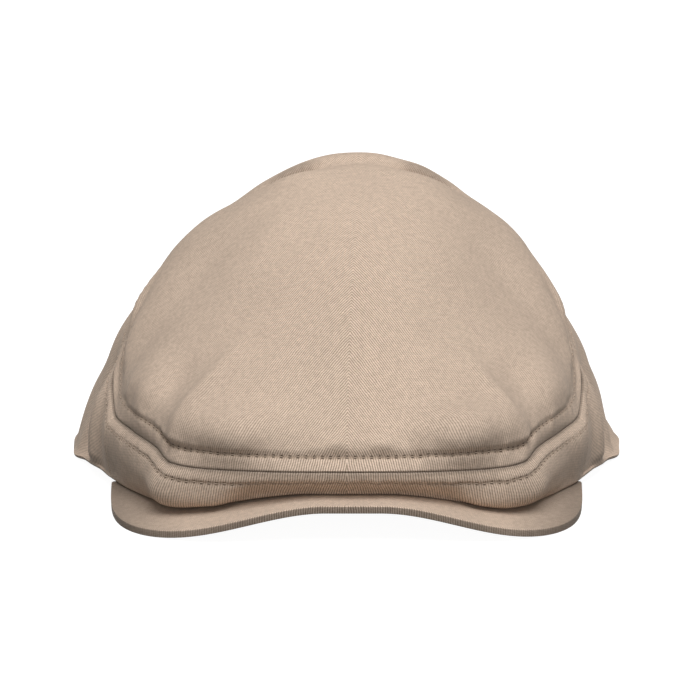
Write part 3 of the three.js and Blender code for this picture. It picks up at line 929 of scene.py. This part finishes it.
def displaced_top(at, near_rows, rest, cloth):
    """The top panel's cloth with its relief: points, normals, distances from the seam, lengths."""
    skin, d, totals = top_skin(at, near_rows, rest)
    normals = normals_of(skin, True)
    normals[:, -1] = (0, 0, 1)
    relief = top_relief(at[:, None], d, skin, cloth.upper_row / MM) + crown_relief(skin)
    relief[:, -1] = np.mean(relief[:, -2])
    points = skin + normals * relief[..., None]
    for side in (-1, 1):
        lapped = bell(skin[..., 0] - LEAN - side * LAP["x"], LAP["across"])
        points[..., 1] -= LAP["forward"] * lapped * bell(skin[..., 1] - LAP["y"], LAP["along"])
    return points, normals, d, totals


def displaced_wall(at, near_rows, rest, cloth, closed):
    """The cloth below the seam with its relief, from the seam down."""
    skin, e, totals, rim = wall_skin(at, near_rows, rest, cloth.hem_roll / MM)
    normals = -normals_of(skin, closed)
    relief = wall_relief(at[:, None], e, skin, cloth.lower_row / MM, totals[:, None])
    return skin + normals * relief[..., None], normals, e, totals, rim


def upper_row_points(at, cloth):
    """Points and normals of the top panel's stitched row, for the stitches and their holes."""
    row = cloth.upper_row / MM
    points, normals, _, _ = displaced_top(at, (row - 0.4, row, row + 0.4), 8, cloth)
    return points[:, 1], normals[:, 1]


def lower_row_points(at, cloth):
    """Points and normals of the stitched row below the seam."""
    row = cloth.lower_row / MM
    points, normals, _, _, _ = displaced_wall(at, (row - 0.4, row, row + 0.4), 8, cloth, True)
    return points[:, 1], normals[:, 1]


def stitch_count(length, cloth):
    """How many stitches a row of this length in millimetres has."""
    return round(length / (cloth.stitch_pitch / MM))


def build_top_panel(cloth):
    """The top panel: one sheet from the turned edge at the seam up to the top, closed all round."""
    at = top_columns()
    points, _, d, totals = displaced_top(at, TOP_NEAR_ROWS, TOP_ROWS, cloth)
    radius, lip = seam_turn(cloth)
    seam_points, outward, upward = at_seam(at)
    points[:, 0] = pressed_to_seam(points[:, 0], seam_points, upward, radius - LIP_OVERLAP)
    rows, lengths = rolled(points[:, 0], upward, outward, radius, math.pi / 2, lip)
    points = with_rows(points, rows[::-1], [])
    extra = len(rows)
    below = d[:, :1] - np.array(lengths[::-1])[None]
    d = np.concatenate([below, d], axis=1)

    direction = np.arctan2(CURVES["seam_x"](np.abs(at)) * np.sign(at), TOP_Y - CURVES["seam_y"](np.abs(at)))
    arc = totals[:, None] - d
    crown = twill_map(arc * np.sin(direction)[:, None], -arc * np.cos(direction)[:, None], cloth.wale_slope)
    along, whole = row_length_table(lambda a: upper_row_points(a, cloth)[0])
    strip = twill_map(np.repeat(along(at)[:, None], d.shape[1], 1), d, cloth.strip_slope)
    count = stitch_count(whole, cloth)
    seam = np.stack([np.repeat((along(at) / whole * count)[:, None], d.shape[1], 1), d * MM], axis=-1)
    split = extra + TOP_NEAR_ROWS.index(STRIP_ENDS_AT)

    def round_again(grid):
        return np.concatenate([grid, grid[:1]], axis=0)

    seam = round_again(seam)
    seam[-1, :, 0] += count
    strip_back = round_again(strip)
    strip_back[-1, :, :] = twill_map(np.full(d.shape[1], along(BACK_AT)), d[0], cloth.strip_slope)
    sheet = cloth_sheet("top_panel_cloth", round_again(points), {
        "cloth": [(0, strip_back), (split, round_again(crown))],
        "seam": [(0, seam)],
    })
    merged(sheet, 1e-6)
    thickened(sheet, cloth.thickness)
    return sheet


def build_wall(name, at, rest, cloth):
    """A panel below the seam: hem, wall, and turned edges at the seam and at its upright borders."""
    points, _, e, totals, rim = displaced_wall(at, WALL_NEAR_ROWS, rest, cloth, False)
    points, e = points[:, ::-1], e[:, ::-1]
    normals = normals_of(points, False)
    radius, lip = seam_turn(cloth)
    seam_points, outward, upward = at_seam(at)
    points[:, -1] = pressed_to_seam(points[:, -1], seam_points, -upward, radius - LIP_OVERLAP)
    top_rows, top_lengths = rolled(points[:, -1], -upward, outward, radius, math.pi / 2, lip)

    # The hem turns under at the rim and runs up inside.
    hem_radius = cloth.hem_roll / MM
    level = normals[:, 0].copy()
    level[:, 2] = 0
    level = unit(level)
    upright = np.zeros_like(level)
    upright[:, 2] = 1
    border = rim + upright * hem_radius
    border[:, :2] = lerp(points[:, 0, :2], rim[:, :2], 0.65) + level[:, :2] * hem_radius * 0.45
    hem_lip = np.linspace(1, cloth.hem_width / MM, 6)
    hem_rows, hem_lengths = rolled(border, upright, level, hem_radius, math.pi, hem_lip)
    turned = 2 * ROLL_STEPS
    for k, step in enumerate(hem_lip):
        # Inside, the hem lies along the wall.
        climb = step / (cloth.hem_width / MM)
        row = np.argmin(np.abs((totals[:, None] - e) - (hem_radius + step)), axis=1)
        along_wall = points[np.arange(len(at)), row] - normals[np.arange(len(at)), row] * 2 * hem_radius
        hem_rows[turned + k] = lerp(hem_rows[turned + k], along_wall, smooth_step(0, 0.35, climb))
    # Over the bill it follows the bill's top.
    on_bill = np.abs(at) <= TEMPLE_AT
    for row in hem_rows:
        row[:, 2] += on_bill * (bill_top(row[:, 0], row[:, 1]) - bill_top(rim[:, 0], rim[:, 1]))
    points[:, 0] = border
    points = with_rows(points, hem_rows[::-1], top_rows)
    hem_e = (totals[:, None] - hem_radius) + np.array(hem_lengths[::-1])[None]
    top_e = e[:, -1:] - np.array(top_lengths)[None]
    e = np.concatenate([hem_e, e, top_e], axis=1)

    # The upright borders turn in as the seam does, in the direction of the nearest row of the wall.
    rows = points.shape[1]
    nearest = np.clip(np.arange(rows) - len(hem_rows), 0, normals.shape[1] - 1)
    at_rows = at
    for end in (0, -1):
        inner = 1 if end == 0 else -2
        tangent = unit(points[inner] - points[end])[nearest + len(hem_rows)]
        outward = normals[end][nearest].copy()
        outward[:len(hem_rows) + 1, 2] = 0
        outward = unit(outward)
        side_rows, side_lengths = rolled(points[end], tangent, outward, radius, math.pi / 2, lip)
        block = np.stack(side_rows, axis=0)
        step = np.array(side_lengths)
        if end == 0:
            points = np.concatenate([block[::-1], points], axis=0)
            e = np.concatenate([np.repeat(e[:1], len(block), 0), e], axis=0)
            at_rows = np.concatenate([at_rows[0] - step[::-1], at_rows])
        else:
            points = np.concatenate([points, block], axis=0)
            e = np.concatenate([e, np.repeat(e[-1:], len(block), 0)], axis=0)
            at_rows = np.concatenate([at_rows, at_rows[-1] + step])

    along, whole = row_length_table(lambda a: lower_row_points(a, cloth)[0])
    count = stitch_count(whole, cloth)
    sideways = np.repeat(at_rows[:, None], e.shape[1], 1)
    slope = cloth.strip_slope if name == "front_band_cloth" else cloth.wale_slope
    seam = np.stack([np.repeat((along(at_rows) / whole * count)[:, None], e.shape[1], 1), e * MM], axis=-1)
    sheet = cloth_sheet(name, points, {
        "cloth": [(0, twill_map(sideways, -e, slope))],
        "seam": [(0, seam)],
    })
    thickened(sheet, cloth.thickness)
    stood_on_floor(sheet)
    return sheet


def build_bill(cloth):
    """The bill: a covered board, its section carried from tip to tip."""
    power = 2 / BILL_SQUARENESS

    def outer_edge(turn):
        x = np.sign(turn) * BILL_HALF_WIDTH * np.abs(np.sin(turn)) ** power
        return x, BILL_TIP_Y + (BILL_FRONT_Y - BILL_TIP_Y) * np.maximum(0, np.cos(turn)) ** power

    fine = np.linspace(-1, 1, BILL_EDGE_SAMPLES) * math.pi / 2
    fine_x, fine_y = outer_edge(fine)
    round_edge = np.concatenate([[0], np.cumsum(np.hypot(np.diff(fine_x), np.diff(fine_y)))])
    turn = np.interp(np.linspace(0, round_edge[-1], BILL_COLUMNS + 1), round_edge, fine)
    outer_x, outer_y = outer_edge(turn)
    inner_x = BILL_INNER_HALF_WIDTH * np.sin(turn)
    inner_y = BILL_TIP_Y + (BILL_INNER_Y - BILL_TIP_Y) * np.maximum(0, np.cos(turn))
    depth = np.hypot(outer_x - inner_x, outer_y - inner_y)
    flat = np.linspace(0, 1, BILL_ROWS + 1)
    curve = np.linspace(0, math.pi / 2, 6)
    # The section: (share of the depth, distance in from the edge, distance below the top).
    low, high = EDGE_ROUNDING
    section = [(share, (EDGE_LEAN + low) * share, BILL_THICKNESS) for share in flat]
    section += [(1, EDGE_LEAN + low * (1 - math.sin(t)), BILL_THICKNESS - low * (1 - math.cos(t)))
                for t in curve[1:]]
    edge_start = BILL_ROWS
    section += [(1, high * (1 - math.cos(t)), high * (1 - math.sin(t))) for t in curve]
    edge_end = len(section) - 1
    section += [(share, high * share, 0) for share in flat[-2::-1]]
    rows = []
    for share, back, below in section:
        part = share - back / depth
        x = lerp(inner_x, outer_x, part)
        y = lerp(inner_y, outer_y, part)
        rows.append(np.stack([x, y, bill_top(x, y) - below], axis=-1))
    points = np.stack(rows, axis=1)
    points = np.concatenate([points, points[:, :1]], axis=1)
    # The tips are rounded a little and close on the middle of their section.
    caps = []
    for end in (0, -1):
        middle = points[end].mean(axis=0)
        caps.append(np.repeat(middle[None, None], points.shape[1], 1))
        points[end] = lerp(points[end], middle, BILL_TIP_ROUNDING)
    points = np.concatenate([caps[0], points, caps[1]], axis=0)
    run = np.linspace(-0.5, 0.5, BILL_COLUMNS + 1) * round_edge[-1]
    run = np.concatenate([run[:1], run, run[-1:]])
    face = twill_map(points[..., 0], points[..., 1], cloth.wale_slope)
    height = np.repeat(-np.array([below for _, _, below in section] + [BILL_THICKNESS])[None], len(run), 0)
    edge = twill_map(np.repeat(run[:, None], points.shape[1], 1), height, BILL_EDGE_SLOPE)
    sheet = cloth_sheet("bill_cover", points, {
        "cloth": [(0, face), (edge_start, edge), (edge_end, face)],
        "seam": [(edge_start, np.stack([0 * height, -height * MM], axis=-1)), (edge_end, 0 * face)],
    })
    merged(sheet, 1e-6)
    bpy.ops.object.shade_smooth_by_angle(angle=SMOOTH_BELOW)
    return sheet


def build_stitches(name, row_points_of, cloth):
    """A closed row of stitches: one is modelled, copied along the row and joined."""
    deselected()
    bpy.ops.mesh.primitive_uv_sphere_add(segments=8, ring_count=6, radius=0.5)
    model = bpy.context.object
    for vertex in model.data.vertices:
        # A stitch is a short bowed thread: long in x, its ends dip into the cloth.
        x, y, z = vertex.co
        bow = 1 - (2 * x) ** 2
        vertex.co = (x * cloth.stitch_length, y * cloth.thread_width,
                     z * cloth.thread_width + (bow - 0.6) * cloth.thread_width * 0.5)
    along, whole = row_length_table(lambda a: row_points_of(a, cloth)[0])
    count = stitch_count(whole, cloth)
    points, normals = row_points_of(FRAME_AT, cloth)
    lengths = along(FRAME_AT)
    lift = cloth.thread_width * 0.04
    generator = np.random.default_rng(5)

    def on_row(field, distance):
        return np.array([np.interp(distance, lengths, field[:, axis]) for axis in range(3)])

    pieces = []
    for k in range(count):
        middle = ((k + 0.5) / count - 0.5) * whole
        normal = unit(on_row(normals, middle))
        run = unit(on_row(points, middle + 1) - on_row(points, middle - 1))
        run = unit(run + unit(np.cross(normal, run)) * generator.normal(0, 0.06))
        side = unit(np.cross(normal, run))
        place = on_row(points, middle) * MM + normal * lift
        turn = Matrix((*np.stack([run, side, normal, place], axis=1).tolist(), (0, 0, 0, 1)))
        stitch = model.copy()
        stitch.data = model.data.copy()
        stitch.data.transform(turn)
        bpy.context.collection.objects.link(stitch)
        pieces.append(stitch)
    bpy.data.objects.remove(model)
    deselected()
    for stitch in pieces:
        stitch.select_set(True)
    bpy.context.view_layer.objects.active = pieces[0]
    bpy.ops.object.join()
    row = bpy.context.object
    row.name = name
    row.data.name = name
    bpy.ops.object.shade_smooth()
    return row


class CAP_OT_top_panel(bpy.types.Operator):
    """Add the top panel with its turned edge, strip and puckers"""
    bl_idname = "cap.top_panel"
    bl_label = "Top Panel"

    def execute(self, context):
        cloth = context.scene.cap_cloth
        sheet = build_top_panel(cloth)
        # Painted shade in the creases behind the brow, a wider painted shade at the seam over the cheeks,
        # and a little towards the sides.
        material = twill_material("top_twill", cloth, ((cloth.upper_row, 1.0),), painted_crease_shade=0.3, side_fade_and_shade=0.62)
        finished(sheet, "crown_twill", material, "top_panel")
        return {"FINISHED"}


class CAP_OT_front_band(bpy.types.Operator):
    """Add the front band that stands on the bill"""
    bl_idname = "cap.front_band"
    bl_label = "Front Band"

    def execute(self, context):
        cloth = context.scene.cap_cloth
        roll = cloth.seam_roll / MM
        at = places(-TEMPLE_AT, TEMPLE_AT, 2 * (CORNER_COLUMNS + CHEEK_COLUMNS), roll)
        sheet = build_wall("front_band_cloth", at, BAND_ROWS, cloth)
        # Painted shade makes the band a little darker towards the sides.
        material = twill_material("band_twill", cloth, ((cloth.lower_row, 0.7),), side_fade_and_shade=0.3)
        finished(sheet, "crown_twill", material, "front_band")
        return {"FINISHED"}


class CAP_OT_side_panels(bpy.types.Operator):
    """Add the left and right side panels, which meet at the middle of the back"""
    bl_idname = "cap.side_panels"
    bl_label = "Side Panels"

    def execute(self, context):
        cloth = context.scene.cap_cloth
        roll = cloth.seam_roll / MM
        material = twill_material("side_twill", cloth, ((cloth.lower_row, 0.5),), relief=0.3)
        spans = (("side_panel_left", TEMPLE_AT, BACK_AT), ("side_panel_right", -BACK_AT, -TEMPLE_AT))
        for node, start, end in spans:
            at = places(start, end, SIDE_COLUMNS, roll)
            sheet = build_wall(node + "_cloth", at, SIDE_ROWS, cloth)
            finished(sheet, "crown_twill", material, node)
        return {"FINISHED"}


class CAP_OT_bill(bpy.types.Operator):
    """Add the bill, a board covered in the cap's cloth"""
    bl_idname = "cap.bill"
    bl_label = "Bill"

    def execute(self, context):
        cloth = context.scene.cap_cloth
        sheet = build_bill(cloth)
        # Painted shade towards the bill's tips, round its edge and a little towards the sides.
        material = twill_material("bill_twill", cloth, (), tips=0.5, edge=0.34, side_fade_and_shade=0.6)
        finished(sheet, "bill_twill", material, "bill")
        return {"FINISHED"}


class CAP_OT_stitches(bpy.types.Operator):
    """Add the two rows of stitches, above and below the seam"""
    bl_idname = "cap.stitches"
    bl_label = "Stitches"

    def execute(self, context):
        cloth = context.scene.cap_cloth
        thread = thread_material("sand_thread", cloth)
        for name, row in (("upper_stitches", upper_row_points), ("lower_stitches", lower_row_points)):
            finished(build_stitches(name, row, cloth), "crown_twill", thread)
        return {"FINISHED"}


def add_light(name, kind, place, target, energy, **settings):
    """A soft light that faces the target."""
    bpy.ops.object.light_add(type=kind, location=place)
    light = bpy.context.object
    light.name = name
    light.data.energy = energy
    for key, value in settings.items():
        setattr(light.data, key, value)
    light.rotation_euler = (Vector(target) - Vector(place)).to_track_quat("-Z", "Y").to_euler()


class CAP_OT_stage(bpy.types.Operator):
    """Add the floor, the soft studio lights and the camera"""
    bl_idname = "cap.stage"
    bl_label = "Stage"

    def execute(self, context):
        stage = context.scene.cap_stage
        deselected()
        bpy.ops.mesh.primitive_plane_add(size=stage.floor_size)
        floor = context.object
        floor.name = "floor"
        floor.visible_diffuse = False
        paper = bpy.data.materials.new("floor_paper")
        paper.use_nodes = True
        surface = paper.node_tree.nodes["Principled BSDF"]
        surface.inputs["Base Color"].default_value = (*stage.floor_colour, 1)
        surface.inputs["Roughness"].default_value = 0.9
        surface.inputs["Specular IOR Level"].default_value = 0.1
        surface.inputs["Emission Color"].default_value = (1, 1, 1, 1)
        surface.inputs["Emission Strength"].default_value = stage.floor_glow
        floor.data.materials.append(paper)

        height, side = stage.key_elevation, stage.key_azimuth
        level = math.cos(height)
        key_from = Vector((level * math.sin(side), -level * math.cos(side), math.sin(height)))
        add_light("key_light", "SUN", key_from * 3, (0, 0, 0), stage.key_strength, angle=math.radians(50))
        add_light("fill_light", "AREA", (0, -3.0, 0.9), (0, 0, 0.04), stage.fill_power,
                  shape="RECTANGLE", size=2.5, size_y=1.2)

        world = bpy.data.worlds.new("studio")
        world.use_nodes = True
        context.scene.world = world
        tree = world.node_tree
        tree.nodes.clear()
        n = Nodes(tree)
        direction = n.parts(n.add("ShaderNodeTexCoord").outputs["Generated"])
        above = n.range(direction[2], -0.2, 0.6, 0.25, 1.0)
        light = n.add("ShaderNodeBackground")
        light.inputs["Color"].default_value = (1, 0.96, 0.91, 1)
        n.join(n.times(above, stage.ambient), light.inputs["Strength"])
        seen = n.add("ShaderNodeBackground")
        seen.inputs["Color"].default_value = (1, 1, 1, 1)
        seen.inputs["Strength"].default_value = 1.0
        mix = n.add("ShaderNodeMixShader")
        n.join(n.add("ShaderNodeLightPath").outputs["Is Camera Ray"], mix.inputs[0])
        n.join(light.outputs[0], mix.inputs[1])
        n.join(seen.outputs[0], mix.inputs[2])
        n.join(mix.outputs[0], n.add("ShaderNodeOutputWorld").inputs["Surface"])

        elevation = stage.camera_elevation
        back = Vector((0, -math.cos(elevation), math.sin(elevation)))
        place = CAMERA_TARGET + back * stage.camera_distance
        bpy.ops.object.camera_add(location=place, rotation=(math.pi / 2 - elevation, 0, 0))
        camera = context.object
        camera.name = "camera"
        camera.data.sensor_width = 36
        camera.data.lens = stage.camera_lens
        camera.data.clip_end = 50
        context.scene.camera = camera
        context.scene.view_settings.view_transform = "Standard"
        return {"FINISHED"}


class CAP_PT_build(bpy.types.Panel):
    """Lists the cap's pieces in the sidebar"""
    bl_label = "Flat Bill Cap"
    bl_space_type = "VIEW_3D"
    bl_region_type = "UI"
    bl_category = "Cap"

    def draw(self, context):
        for operator in STEPS:
            self.layout.operator(operator.bl_idname)
        for group in (context.scene.cap_cloth, context.scene.cap_stage):
            box = self.layout.box()
            for name in group.__annotations__:
                box.prop(group, name)


STEPS = (CAP_OT_top_panel, CAP_OT_front_band, CAP_OT_side_panels, CAP_OT_bill, CAP_OT_stitches,
         CAP_OT_stage)
CLASSES = (CapCloth, CapStage, *STEPS, CAP_PT_build)


def register():
    for cls in CLASSES:
        bpy.utils.register_class(cls)
    bpy.types.Scene.cap_cloth = bpy.props.PointerProperty(type=CapCloth)
    bpy.types.Scene.cap_stage = bpy.props.PointerProperty(type=CapStage)


def unregister():
    del bpy.types.Scene.cap_stage
    del bpy.types.Scene.cap_cloth
    for cls in reversed(CLASSES):
        bpy.utils.unregister_class(cls)


def main():
    register()
    bpy.ops.cap.top_panel()
    bpy.ops.cap.front_band()
    bpy.ops.cap.side_panels()
    bpy.ops.cap.bill()
    bpy.ops.cap.stitches()
    bpy.ops.cap.stage()
    bpy.context.view_layer.update()


if __name__ == "__main__":
    main()
